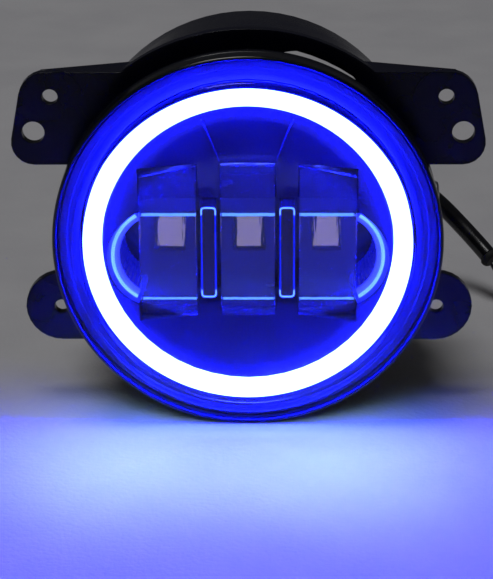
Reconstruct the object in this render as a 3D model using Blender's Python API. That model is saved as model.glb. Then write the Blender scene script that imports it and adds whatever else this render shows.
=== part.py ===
"""Round halo fog light in a four-eared bracket, with a tilting lamp pod and an aiming screw.

Depths (d) run to the rear from the rim's front plane. Heights (z) and sideways places (x) are
from the lamp's axis. All sizes below are in millimetres.
"""

from math import atan2, cos, hypot, pi, radians, sin

import bmesh
import bpy
from mathutils import Matrix, Vector

MM = 0.001
GAP = 0.3  # clearance between pieces that touch

# Overall
RIM_R = 55.0
RIM_DEEP = 8.2
LENS_PROUD = 6.0
REAR_D = 65.0
AXIS_HEIGHT = RIM_R
FRONT_Y = -(REAR_D - LENS_PROUD) / 2 * MM  # the rim front plane; the depth is centred on y = 0

# Bracket
PLATE_FRONT = 18.0
PLATE_BACK = 21.0
PLATE_R = 54.7
ARCH_R = 57.8
PLATE_BORE_R = 52.0
COLLAR_R_FRONT = 54.3
COLLAR_R_REAR = 50.7
COLLAR_WALL = 1.8
EAR_TOP = 45.3
EAR_BOTTOM = 18.0
EAR_OUTER_TOP_X = 63.5
EAR_OUTER_BOTTOM_X = 68.8
SMALL_HOLE = (55.9, 38.1, 2.25)
BIG_HOLE = (61.0, 27.6, 3.25)
LOW_EAR = (54.7, -25.6, 10.4)
LOW_HOLE_R = 2.1
# Each rib stands behind an upper ear: its top, where it starts and where it runs out along x
EAR_RIBS = {"top": (EAR_TOP, 31.0, 58.5), "bottom": (EAR_BOTTOM + 2.4, 48.0, 62.0)}
RIB_DEEP, RIB_THICK = 8.8, 2.4
NOTCH_R, NOTCH_OUT, NOTCH_ANGLE = 20.0, 34.4, 66.0
TROUGH_HALF, TROUGH_WALL, TROUGH_END = 10.5, 1.8, 60.0

# Aim pivot and aiming screw
PIVOT_D = 44.0
PIVOT_R = 2.0
PIVOT_BOSS_X = 53.2
ADJUSTER_Z = -47.5
ADJUSTER_R = 2.0
ADJUSTER_FRONT = 36.0
HEAD_D = TROUGH_END + GAP

# Pod
BODY_R = 50.0
TAIL_R = 44.0
BODY_END = 24.0
TAIL_START = 34.0
POD_BACK = 36.0
WALL = 2.6
SINK_FRONT = POD_BACK + 1.3
SINK_BASE = 42.0
SINK_END = 61.0
SINK_R_FRONT, SINK_R_REAR = 43.5, 39.5
FIN_PITCH, FIN_THICK, FIN_COUNT = 8.6, 2.6, 10

# Optics
HALO_IN, HALO_OUT, HALO_FRONT, HALO_BACK = 41.0, 46.3, -1.5, 2.5
OPTIC_Z_LOW, OPTIC_Z_HIGH = -23.0, 22.0
OPTIC_MID_HALF = 7.6
OPTIC_SIDE_IN, OPTIC_SIDE_OUT = 14.5, 30.5
OPTIC_FRONT, OPTIC_EDGE, OPTIC_BACK = 1.0, 5.0, 11.0
BAR_X, BAR_HALF = 11.05, 2.4
BAR_Z_LOW, BAR_Z_HIGH, BAR_FRONT = -16.6, 11.0, 2.2
PILL_Z, PILL_HALF_TALL, PILL_HALF_LONG = -4.0, 13.0, 38.6
OVAL_Z, OVAL_HALF_TALL, OVAL_HALF_LONG = -5.0, 15.0, 40.0  # the bezel's opening over the tray
TRAY_WALL, TRAY_FRONT, TRAY_BACK, TRAY_FLANGE = 1.3, 11.3, 24.9, 1.2
BOARD_FRONT, BOARD_THICK = 25.2, 1.5
PEDESTAL_FRONT = 27.0
DRIVER_X, DRIVER_Z = 17.5, -29.0
LED_PLACES = {"left": -22.5, "centre": 0, "right": 22.5}
CHIP_HALF, WINDOW_HALF = 3.5, 4.5

# Cable
GLAND_X, GLAND_Z = 12.9, 0.0
GLAND_FRONT, GLAND_END, GLAND_RIBS = 58.3, 82.0, 4
VENT_FRONT = 48.3
SLEEVE_R, WIRE_R = 2.85, 1.05
SLEEVE_ROUTE = [
    (12.9, 82.4, 0.0), (12.9, 90.0, -0.3), (16.5, 98.5, -1.6), (26.0, 106.0, -4.6),
    (39.0, 110.6, -10.2), (52.0, 111.6, -18.6), (62.0, 110.0, -26.6), (68.5, 106.6, -32.4),
    (74.0, 101.6, -37.2), (77.4, 97.8, -40.2),
]
WIRE_ROUTES = {
    "wire_one": [
        (80.5, 95.4, -42.0), (84.4, 90.6, -45.8), (90.0, 83.6, -50.4), (99.0, 75.8, -53.4),
        (109.0, 69.0, -53.2), (118.5, 64.6, -50.6), (127.6, 63.2, -48.6),
    ],
    "wire_two": [
        (78.8, 94.2, -42.0), (82.0, 88.2, -46.2), (86.8, 80.6, -51.2), (95.0, 71.6, -53.5),
        (105.0, 64.6, -53.4), (116.0, 60.0, -50.8), (127.6, 58.8, -48.6),
    ],
}
PLUG_AT = (127.0, 61.0, -48.6)
PLUG_START, PLUG_LONG, PLUG_HALF_WIDE, PLUG_HALF_TALL = 4.3, 30.0, 8.4, 6.2

SMOOTH = 72  # steps round a large circle that shows
PLAIN = 48  # round a large circle inside
ROUND = 32
SMALL = 16
TINY = 10


def remove_old_objects():
    for old in list(bpy.data.objects):
        bpy.data.objects.remove(old, do_unlink=True)


def make_material(name, colour, roughness, metallic=0.0, alpha=1.0):
    material = bpy.data.materials.new(name)
    material.use_nodes = True
    shader = material.node_tree.nodes["Principled BSDF"]
    shader.inputs["Base Color"].default_value = (*colour, 1.0)
    shader.inputs["Roughness"].default_value = roughness
    shader.inputs["Metallic"].default_value = metallic
    shader.inputs["Alpha"].default_value = alpha
    return material


def make_materials():
    return {
        "black_nylon": make_material("black_nylon", (0.012, 0.014, 0.02), 0.35),
        "black_gloss": make_material("black_gloss", (0.008, 0.008, 0.012), 0.12),
        "cast_aluminium": make_material("cast_aluminium", (0.02, 0.02, 0.022), 0.5, 1.0),
        "clear_plastic": make_material("clear_plastic", (0.9, 0.92, 1.0), 0.03, 0.0, 0.3),
        "diffuser": make_material("diffuser", (0.85, 0.9, 1.0), 0.4),
        "reflector": make_material("reflector", (0.75, 0.77, 0.8), 0.1, 1.0),
        "rubber": make_material("rubber", (0.02, 0.02, 0.02), 0.7),
        "board": make_material("board", (0.03, 0.12, 0.06), 0.4),
        "steel": make_material("steel", (0.55, 0.56, 0.58), 0.3, 1.0),
        "phosphor": make_material("phosphor", (0.85, 0.7, 0.2), 0.5),
        "white_nylon": make_material("white_nylon", (0.75, 0.74, 0.7), 0.45),
        "orange_wire": make_material("orange_wire", (0.75, 0.32, 0.1), 0.4),
    }


def make_empty(name, x, d, z):
    empty = bpy.data.objects.new(name, None)
    empty.location = (x * MM, FRONT_Y + d * MM, (AXIS_HEIGHT + z) * MM)
    empty.empty_display_size = 0.01
    bpy.context.collection.objects.link(empty)
    return empty


class Body:
    """A rigid group: its empty stands on the joint's axis and carries the group's pieces."""

    def __init__(self, name, x, d, z):
        self.origin = Vector((x, d, z)) * MM
        self.empty = make_empty(name, x, d, z)

    def add(self, name, mesh, material, hidden=False):
        piece = bpy.data.objects.new(name, mesh)
        piece.location = -self.origin
        piece.parent = self.empty
        bpy.context.collection.objects.link(piece)
        if hidden:
            piece.hide_render = True
            piece.display_type = "WIRE"
        else:
            mesh.materials.append(material)
        return piece


def finished(bm, name, turn=None, move=(0, 0, 0)):
    """Gives a bmesh its place in lamp coordinates (x, d, z) and returns it as a mesh."""
    bmesh.ops.recalc_face_normals(bm, faces=bm.faces)
    if turn is not None:
        bmesh.ops.transform(bm, matrix=turn, verts=bm.verts)
    bmesh.ops.translate(bm, vec=Vector(move) * MM, verts=bm.verts)
    mesh = bpy.data.meshes.new(name)
    bm.to_mesh(mesh)
    bm.free()
    mesh.shade_smooth()
    mesh.set_sharp_from_angle(angle=radians(30))
    return mesh


def turned(name, profile, steps, turn=None, move=(0, 0, 0)):
    """Spins a profile of (radius, depth) points round the d axis, closed unless it meets the axis."""
    bm = bmesh.new()
    verts = [bm.verts.new((r * MM, d * MM, 0)) for r, d in profile]
    edges = [bm.edges.new(pair) for pair in zip(verts, verts[1:])]
    if profile[0][0] > 0 or profile[-1][0] > 0:
        edges.append(bm.edges.new((verts[-1], verts[0])))
    bmesh.ops.spin(bm, geom=verts + edges, cent=(0, 0, 0), axis=(0, 1, 0),
                   angle=2 * pi, steps=steps, use_merge=True)
    bmesh.ops.remove_doubles(bm, verts=bm.verts, dist=1e-6)
    middles = [v for v in bm.verts if hypot(v.co.x, v.co.z) < 1e-6 and is_flat(v)]
    bmesh.ops.dissolve_verts(bm, verts=middles)
    return finished(bm, name, turn, move)


def is_flat(middle):
    """True for a vertex on the axis whose neighbours lie level with it, as on a flat end."""
    return all(abs(e.other_vert(middle).co.y - middle.co.y) < 1e-7 for e in middle.link_edges)


def prism(name, outline, start, end, turn=None, move=(0, 0, 0)):
    """Extrudes an outline of (x, z) points along d."""
    bm = bmesh.new()
    face = bm.faces.new([bm.verts.new((x * MM, start * MM, z * MM)) for x, z in outline])
    swept = bmesh.ops.extrude_face_region(bm, geom=[face])
    moved = [v for v in swept["geom"] if isinstance(v, bmesh.types.BMVert)]
    bmesh.ops.translate(bm, vec=(0, (end - start) * MM, 0), verts=moved)
    return finished(bm, name, turn, move)


def slab(name, low, high):
    """A box between two corners, each (x, d, z)."""
    outline = [(low[0], low[2]), (high[0], low[2]), (high[0], high[2]), (low[0], high[2])]
    return prism(name, outline, low[1], high[1])


def disc(name, x, z, radius, start, end, steps=ROUND):
    return turned(name, [(0, start), (radius, start), (radius, end), (0, end)], steps, move=(x, 0, z))


def arc(centre, radius, start_deg, end_deg, steps):
    """Points (x, z) along an arc, both ends included."""
    angles = [radians(start_deg + (end_deg - start_deg) * i / steps) for i in range(steps + 1)]
    return [(centre[0] + radius * cos(a), centre[1] + radius * sin(a)) for a in angles]


def rounded(corners, radii, steps=6):
    """A polygon with each corner replaced by an arc of its own radius, or kept where that is 0."""
    points = []
    for i, radius in enumerate(radii):
        here = Vector(corners[i])
        if radius == 0:
            points.append(tuple(here))
            continue
        back = (Vector(corners[i - 1]) - here).normalized()
        on = (Vector(corners[(i + 1) % len(corners)]) - here).normalized()
        half = back.angle(on) / 2
        reach = radius / abs(sin(half))
        centre = here + (back + on).normalized() * reach
        first = here + back * (radius * cos(half) / sin(half)) - centre
        last = here + on * (radius * cos(half) / sin(half)) - centre
        begin, finish = atan2(first.y, first.x), atan2(last.y, last.x)
        sweep = (finish - begin + pi) % (2 * pi) - pi
        for k in range(steps + 1):
            angle = begin + sweep * k / steps
            points.append((centre.x + radius * cos(angle), centre.y + radius * sin(angle)))
    return points


def pill(half_long, half_tall, z, steps=16):
    """A flat oval with round ends."""
    middle = half_long - half_tall
    right = arc((middle, z), half_tall, -90, 90, steps)
    left = arc((-middle, z), half_tall, 90, 270, steps)
    return right + left


def along_x(side, depth, z):
    """Turns the d axis to point outwards along x, at a given depth and height."""
    turn = Matrix.Rotation(-side * pi / 2, 4, "Z")
    return Matrix.Translation(Vector((0, depth, z)) * MM) @ turn


def shape(piece, body, operation, meshes):
    """Joins meshes to a piece, or cuts them from it."""
    for mesh in meshes:
        tool = body.add(mesh.name, mesh, None, hidden=True)
        step = piece.modifiers.new(mesh.name, "BOOLEAN")
        step.operation = operation
        step.solver = "EXACT"
        step.object = tool
    return piece


def collar_r(depth):
    share = (depth - PLATE_BACK) / (REAR_D - PLATE_BACK)
    return COLLAR_R_FRONT + (COLLAR_R_REAR - COLLAR_R_FRONT) * share


def bracket_blank():
    """The plate's disc and the tapered collar behind it, before the bore."""
    return [(0, PLATE_FRONT), (PLATE_R, PLATE_FRONT), (PLATE_R, PLATE_BACK),
            (COLLAR_R_FRONT, PLATE_BACK), (COLLAR_R_REAR, REAR_D), (0, REAR_D)]


def ear_meshes(side, label):
    """The upper ear with its stiffening ribs, and the round lower ear."""
    corners = [(40, EAR_BOTTOM), (EAR_OUTER_BOTTOM_X, EAR_BOTTOM), (EAR_OUTER_TOP_X, EAR_TOP),
               (30, EAR_TOP)]
    outline = [(side * x, z) for x, z in rounded(corners, [0, 6.5, 8.0, 0])]
    upper = prism(f"upper_ear_{label}", outline, PLATE_FRONT, PLATE_BACK)
    x, z, radius = LOW_EAR
    tab = [(38, z - radius)] + arc((x, z), radius, -90, 90, 14) + [(38, z + radius)]
    lower = prism(f"lower_ear_{label}", [(side * px, pz) for px, pz in tab], PLATE_FRONT, PLATE_BACK)
    ribs = []
    root = PLATE_BACK - 0.5
    for name, (top, start, tip) in EAR_RIBS.items():
        bm = bmesh.new()
        plan = [(start, root), (tip, root), (tip, PLATE_BACK), (start, PLATE_BACK + RIB_DEEP)]
        face = bm.faces.new([bm.verts.new((side * px * MM, d * MM, top * MM)) for px, d in plan])
        swept = bmesh.ops.extrude_face_region(bm, geom=[face])
        low = [v for v in swept["geom"] if isinstance(v, bmesh.types.BMVert)]
        bmesh.ops.translate(bm, vec=(0, 0, -RIB_THICK * MM), verts=low)
        ribs.append(finished(bm, f"rib_{name}_{label}"))
    return [upper, lower] + ribs


def arch_mesh():
    outline = arc((0, 0), ARCH_R, 19, 161, 36)
    return prism("arch", outline, PLATE_FRONT, PLATE_BACK)


def hole_meshes(side, label):
    holes = [("small_hole", *SMALL_HOLE), ("big_hole", *BIG_HOLE),
             ("low_hole", LOW_EAR[0], LOW_EAR[1], LOW_HOLE_R)]
    return [disc(f"{name}_{label}", side * x, z, r, PLATE_FRONT - 2, PLATE_BACK + 2)
            for name, x, z, r in holes]


def make_bracket(frame, materials):
    blank = turned("mounting_bracket", bracket_blank(), SMOOTH)
    bracket = frame.add("mounting_bracket", blank, materials["black_nylon"])
    trough = slab("trough", (-TROUGH_HALF, PLATE_BACK - 1, -RIM_R), (TROUGH_HALF, TROUGH_END, -40))
    joined = [arch_mesh()] + ear_meshes(1, "right") + ear_meshes(-1, "left") + [trough]
    for side, label in ((1, "right"), (-1, "left")):
        profile = [(0, 44), (6.5, 44), (6.5, PIVOT_BOSS_X), (0, PIVOT_BOSS_X)]
        joined.append(turned(f"pivot_pad_{label}", profile, SMALL, along_x(side, PIVOT_D, 0)))
    shape(bracket, frame, "UNION", joined)

    inner_rear = COLLAR_R_REAR - COLLAR_WALL
    bore = [(0, PLATE_FRONT - 1), (PLATE_BORE_R, PLATE_FRONT - 1), (PLATE_BORE_R, PLATE_BACK + 2),
            (inner_rear, REAR_D + 0.5), (0, REAR_D + 0.5)]
    lean = radians(NOTCH_ANGLE)
    cuts = [
        turned("pod_bore", bore, SMOOTH),
        disc("sight_notch", NOTCH_OUT * cos(lean), NOTCH_OUT * sin(lean), NOTCH_R,
             PLATE_FRONT - 1, PLATE_BACK + 1.5, 64),
        slab("trough_hollow", (-TROUGH_HALF + 2.2, PLATE_BACK + 1.5, -RIM_R + TROUGH_WALL),
             (TROUGH_HALF - 2.2, TROUGH_END - 4, -30)),
        slab("tool_notch", (-7, TROUGH_END, -58), (7, REAR_D + 1, -30)),
        disc("adjuster_hole", 0, ADJUSTER_Z, ADJUSTER_R + 0.3, TROUGH_END - 5, TROUGH_END + 1),
    ]
    for side, label in ((1, "right"), (-1, "left")):
        cuts += hole_meshes(side, label)
        profile = [(0, 40), (3.2, 40), (3.2, PIVOT_BOSS_X + 1), (0, PIVOT_BOSS_X + 1)]
        cuts.append(turned(f"pivot_hole_{label}", profile, SMALL, along_x(side, PIVOT_D, 0)))
    return shape(bracket, frame, "DIFFERENCE", cuts)


def make_pivots(frame, pod, materials):
    bush = [(2.25, 49.9), (2.9, 49.9), (2.9, PIVOT_BOSS_X + GAP), (4.8, PIVOT_BOSS_X + GAP),
            (4.8, PIVOT_BOSS_X + 1.0), (2.25, PIVOT_BOSS_X + 1.0)]
    head = PIVOT_BOSS_X + 1.0 + GAP
    screw = [(0, 41.8), (PIVOT_R, 42.2), (PIVOT_R, head), (3.9, head), (3.9, head + 1.2),
             (2.9, head + 2.0), (0, head + 2.0)]
    washer = [(2.3, 48.5), (5.5, 48.5), (5.5, 49.3), (2.3, 49.3)]
    for side, label in ((1, "right"), (-1, "left")):
        turn = along_x(side, PIVOT_D, 0)
        frame.add(f"pivot_bush_{label}", turned(f"pivot_bush_{label}", bush, SMALL, turn),
                  materials["white_nylon"])
        pod.add(f"pivot_screw_{label}", turned(f"pivot_screw_{label}", screw, SMALL, turn),
                materials["steel"])
        pod.add(f"pivot_washer_{label}", turned(f"pivot_washer_{label}", washer, SMALL, turn),
                materials["white_nylon"])


def make_adjuster(adjuster, pod, materials):
    """The aiming screw turns in the trough's rear wall and pulls on the nut in the pod's lug."""
    shank = [(0, ADJUSTER_FRONT), (ADJUSTER_R - 0.5, ADJUSTER_FRONT), (ADJUSTER_R, ADJUSTER_FRONT + 0.8),
             (ADJUSTER_R, HEAD_D + 0.2), (0, HEAD_D + 0.2)]
    screw = adjuster.add("adjuster_screw",
                         turned("adjuster_screw", shank, SMALL, move=(0, 0, ADJUSTER_Z)),
                         materials["steel"])
    head = turned("adjuster_head", [(0, HEAD_D), (3.9, HEAD_D), (3.9, HEAD_D + 3), (0, HEAD_D + 3)], 6,
                  move=(0, 0, ADJUSTER_Z))
    shape(screw, adjuster, "UNION", [head])
    clip = [(ADJUSTER_R + 0.2, 55.0), (4.2, 55.0), (4.2, 55.7), (ADJUSTER_R + 0.2, 55.7)]
    adjuster.add("adjuster_clip", turned("adjuster_clip", clip, SMALL, move=(0, 0, ADJUSTER_Z)),
                 materials["steel"])
    bore = ADJUSTER_R + 0.45
    nut = [(bore, 38.2), (3.3, 38.2), (3.3, 48.3), (4.8, 48.3), (4.8, 49.4), (bore, 49.4)]
    pod.add("adjuster_nut", turned("adjuster_nut", nut, SMALL, move=(0, 0, ADJUSTER_Z)),
            materials["white_nylon"])


def make_shells(pod, materials):
    """Rim, lens, seal and the cast bowl, which close the front of the pod."""
    rim = [(53.65, 0.3), (54.4, 0), (RIM_R, 0.6), (RIM_R, RIM_DEEP - 0.6), (54.4, RIM_DEEP),
           (50.6, RIM_DEEP), (50.6, 6.4), (53.65, 6.4)]
    pod.add("rim_ring", turned("rim_ring", rim, SMOOTH), materials["black_nylon"])

    lens = [(0, -LENS_PROUD), (48.4, -LENS_PROUD), (49.3, -5.5), (49.7, -0.4), (50.3, 0.1),
            (53.3, 0.1), (53.3, 2.2), (47.5, 2.2), (47.2, -3.2), (46.6, -3.6), (0, -3.6)]
    pod.add("front_lens", turned("front_lens", lens, SMOOTH), materials["clear_plastic"])

    seal = [(50.9, 2.5), (53.1, 2.5), (53.1, 3.9), (50.9, 3.9)]
    pod.add("lens_seal", turned("lens_seal", seal, ROUND), materials["rubber"])

    inner, tail_inner, floor = BODY_R - WALL, TAIL_R - WALL - 0.2, POD_BACK - 2.4
    bowl = [(0, floor), (tail_inner, floor), (inner, BODY_END - 0.6), (inner, 4.2), (53.3, 4.2),
            (53.3, 6.1), (50.2, 6.1), (BODY_R, 8.5), (BODY_R, BODY_END), (TAIL_R, TAIL_START),
            (TAIL_R, POD_BACK), (0, POD_BACK)]
    housing = pod.add("housing", turned("housing", bowl, PLAIN), materials["cast_aluminium"])
    pedestal = slab("pedestal", (-33, PEDESTAL_FRONT, -24), (33, floor + 1, 16))
    posts = [disc(f"driver_post_{i}", x, DRIVER_Z, 3.0, 31.0, floor + 1, SMALL)
             for i, x in enumerate((-DRIVER_X, DRIVER_X))]
    shape(housing, pod, "UNION", [pedestal] + posts)
    way = [disc("cable_way", GLAND_X, GLAND_Z, 3.0, 31.5, POD_BACK + 1, SMALL),
           slab("cable_channel", (GLAND_X - 3, 29.6, -26), (GLAND_X + 3, 33.0, GLAND_Z + 3))]
    blind = [disc(f"sink_thread_{i}", x, z, 1.7, floor - 1, POD_BACK + 1, TINY)
             for i, (x, z) in enumerate(sink_screw_places())]
    blind += [disc(f"board_thread_{i}", x, z, 1.25, PEDESTAL_FRONT - 1, 31.8, TINY)
              for i, (x, z) in enumerate(board_screw_places())]
    blind += [disc(f"post_thread_{i}", x, DRIVER_Z, 1.25, 30.0, 33.0, TINY)
              for i, x in enumerate((-DRIVER_X, DRIVER_X))]
    shape(housing, pod, "DIFFERENCE", way + blind)


def sink_screw_places():
    across = 2 * FIN_PITCH
    return [(across, 30.0), (-across, 30.0), (-across, -30.0), (across, -30.0)]


def board_screw_places():
    return [(20.0, 12.9), (-20.0, 12.9), (-20.0, -20.9), (20.0, -20.9)]


def screw_profile(tip, under_head, shank_r, head_r, head_tall, back=1):
    """A pan-head screw along d; back is 1 where the head faces the rear, -1 where it faces forwards."""
    top = under_head + back * head_tall
    return [(0, tip), (shank_r - 0.3, tip), (shank_r, tip + back * 0.5), (shank_r, under_head),
            (head_r, under_head), (head_r, top - back * 0.6), (head_r - 0.7, top), (0, top)]


def make_optics(pod, materials):
    halo = [(HALO_IN, HALO_FRONT + 0.8), (HALO_IN + 0.8, HALO_FRONT), (HALO_OUT - 0.8, HALO_FRONT),
            (HALO_OUT, HALO_FRONT + 0.8), (HALO_OUT, HALO_BACK), (HALO_IN, HALO_BACK)]
    pod.add("halo_guide", turned("halo_guide", halo, PLAIN), materials["diffuser"])
    ring = [(41.2, 2.8), (46.2, 2.8), (46.2, 4.4), (41.2, 4.4)]
    pod.add("halo_board", turned("halo_board", ring, ROUND), materials["board"])
    make_bezel(pod, materials)

    half = (OPTIC_Z_HIGH - OPTIC_Z_LOW) / 2
    middle = (OPTIC_Z_HIGH + OPTIC_Z_LOW) / 2
    bulge = OPTIC_EDGE - OPTIC_FRONT
    radius = (half**2 + bulge**2) / (2 * bulge)
    spread = atan2(half, radius - bulge)
    spans = {"optic_centre": (-OPTIC_MID_HALF, OPTIC_MID_HALF),
             "optic_left": (-OPTIC_SIDE_OUT, -OPTIC_SIDE_IN),
             "optic_right": (OPTIC_SIDE_IN, OPTIC_SIDE_OUT)}
    for name, (left, right) in spans.items():
        bm = bmesh.new()
        angles = [spread - 2 * spread * i / 14 for i in range(15)]
        outline = [(OPTIC_FRONT + radius - radius * cos(a), middle + radius * sin(a)) for a in angles]
        outline += [(OPTIC_BACK, OPTIC_Z_LOW), (OPTIC_BACK, OPTIC_Z_HIGH)]
        face = bm.faces.new([bm.verts.new((left * MM, d * MM, z * MM)) for d, z in outline])
        swept = bmesh.ops.extrude_face_region(bm, geom=[face])
        moved = [v for v in swept["geom"] if isinstance(v, bmesh.types.BMVert)]
        bmesh.ops.translate(bm, vec=((right - left) * MM, 0, 0), verts=moved)
        pod.add(name, finished(bm, name), materials["clear_plastic"])

    for side, label in ((1, "right"), (-1, "left")):
        outline = rounded([(-BAR_HALF, BAR_Z_LOW), (BAR_HALF, BAR_Z_LOW), (BAR_HALF, BAR_Z_HIGH),
                           (-BAR_HALF, BAR_Z_HIGH)], [1.6] * 4, 3)
        bar = prism(f"divider_bar_{label}", outline, BAR_FRONT, OPTIC_BACK, move=(side * BAR_X, 0, 0))
        pod.add(f"divider_bar_{label}", bar, materials["black_gloss"])

    outer = pill(PILL_HALF_LONG + 0.7, PILL_HALF_TALL + TRAY_WALL, PILL_Z)
    tray = pod.add("reflector_tray", prism("reflector_tray", outer, TRAY_FRONT, TRAY_BACK),
                   materials["reflector"])
    flange = pill(OVAL_HALF_LONG + 0.6, OVAL_HALF_TALL + 0.6, OVAL_Z)
    shape(tray, pod, "UNION", [prism("tray_flange", flange, TRAY_FRONT, TRAY_FRONT + TRAY_FLANGE)])
    hollow = pill(PILL_HALF_LONG - 0.6, PILL_HALF_TALL, PILL_Z)
    cuts = [prism("tray_hollow", hollow, TRAY_FRONT - 1, TRAY_BACK - 2.0)]
    for label, x in LED_PLACES.items():
        low = (x - WINDOW_HALF, TRAY_BACK - 3, PILL_Z - WINDOW_HALF)
        high = (x + WINDOW_HALF, TRAY_BACK + 1, PILL_Z + WINDOW_HALF)
        cuts.append(slab(f"led_window_{label}", low, high))
    shape(tray, pod, "DIFFERENCE", cuts)


def make_bezel(pod, materials):
    """The black dish inside the halo, open over the reflector's oval and round the three optics."""
    front = [(0, 9.0), (15, 8.4), (27, 5.8), (35.5, 2.4), (39.6, 0.9), (40.65, 0.9), (40.65, 4.8),
             (46.9, 4.8), (46.9, 6.6), (40.65, 6.6), (40.65, OPTIC_BACK), (0, OPTIC_BACK)]
    bezel = pod.add("bezel", turned("bezel", front, PLAIN), materials["black_gloss"])
    hollow = [(17, 12), (17, 10.2), (27, 7.9), (35, 4.8), (38.4, 3.4), (38.4, 12)]
    pocket = pod.add("dish_back", turned("dish_back", hollow, PLAIN), None, hidden=True)
    wall = prism("oval_wall", pill(OVAL_HALF_LONG + 1.5, OVAL_HALF_TALL + 1.5, OVAL_Z), -5, 15)
    slots = slab("slot_wall", (-32.4, -5, -24.9), (32.4, 15, 23.9))
    shape(pocket, pod, "DIFFERENCE", [wall, slots])
    cut = bezel.modifiers.new("dish_back", "BOOLEAN")
    cut.operation, cut.solver, cut.object = "DIFFERENCE", "EXACT", pocket

    low, high = OPTIC_Z_LOW - GAP, OPTIC_Z_HIGH + GAP
    openings = [
        prism("oval_opening", pill(OVAL_HALF_LONG, OVAL_HALF_TALL, OVAL_Z), -6, 16),
        slab("centre_slot", (-OPTIC_MID_HALF - GAP, -7, low), (OPTIC_MID_HALF + GAP, 17, high)),
        slab("left_slot", (-OPTIC_SIDE_OUT - GAP, -7, low), (-OPTIC_SIDE_IN + GAP, 17, high)),
        slab("right_slot", (OPTIC_SIDE_IN - GAP, -7, low), (OPTIC_SIDE_OUT + GAP, 17, high)),
        slab("bar_slot", (-OPTIC_SIDE_IN - 1, -8, -12), (OPTIC_SIDE_IN + 1, 18, BAR_Z_HIGH + GAP)),
    ]
    shape(bezel, pod, "DIFFERENCE", openings)


def make_electrics(pod, materials):
    board = slab("led_board", (-32, BOARD_FRONT, -23), (32, BOARD_FRONT + BOARD_THICK, 15))
    board = pod.add("led_board", board, materials["board"])
    holes = [disc(f"board_hole_{i}", x, z, 1.35, BOARD_FRONT - 1, BOARD_FRONT + 3, TINY)
             for i, (x, z) in enumerate(board_screw_places())]
    shape(board, pod, "DIFFERENCE", holes)
    for label, x in LED_PLACES.items():
        low = (x - CHIP_HALF, BOARD_FRONT - 1.9, PILL_Z - CHIP_HALF)
        high = (x + CHIP_HALF, BOARD_FRONT - GAP, PILL_Z + CHIP_HALF)
        pod.add(f"led_chip_{label}", slab(f"led_chip_{label}", low, high), materials["phosphor"])
    profile = screw_profile(31.4, BOARD_FRONT - GAP, 1.0, 1.9, 1.4, -1)
    for i, (x, z) in enumerate(board_screw_places(), 1):
        name = f"led_board_screw_{i}"
        pod.add(name, turned(name, profile, TINY, move=(x, 0, z)), materials["steel"])

    driver = slab("driver_board", (-21, 29.0, -36.4), (21, 30.7, -25.5))
    driver = pod.add("driver_board", driver, materials["board"])
    parts = [slab("driver_coil", (-12, 22.5, -36), (-3, 29.5, -27)),
             disc("driver_capacitor", 5, -32, 4.0, 18.0, 29.5, SMALL),
             slab("driver_chip", (9.6, 26.8, -35), (14.6, 29.5, -28))]
    shape(driver, pod, "UNION", parts)
    holes = [disc(f"driver_hole_{i}", x, DRIVER_Z, 1.35, 28, 32, TINY)
             for i, x in enumerate((-DRIVER_X, DRIVER_X))]
    shape(driver, pod, "DIFFERENCE", holes)
    profile = screw_profile(32.6, 29.0 - GAP, 1.0, 1.9, 1.4, -1)
    for i, x in enumerate((-DRIVER_X, DRIVER_X), 1):
        name = f"driver_screw_{i}"
        pod.add(name, turned(name, profile, TINY, move=(x, 0, DRIVER_Z)), materials["steel"])


def fin_outline():
    """The comb of the base and its fins, as (x, d) points."""
    edge = SINK_R_FRONT + 2
    points = [(-edge, SINK_FRONT), (edge, SINK_FRONT), (edge, SINK_BASE)]
    for i in reversed(range(FIN_COUNT)):
        middle = FIN_PITCH * (i - (FIN_COUNT - 1) / 2)
        left, right = middle - FIN_THICK / 2, middle + FIN_THICK / 2
        points += [(right, SINK_BASE), (right, SINK_END), (left, SINK_END), (left, SINK_BASE)]
    return points + [(-edge, SINK_BASE)]


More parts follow.
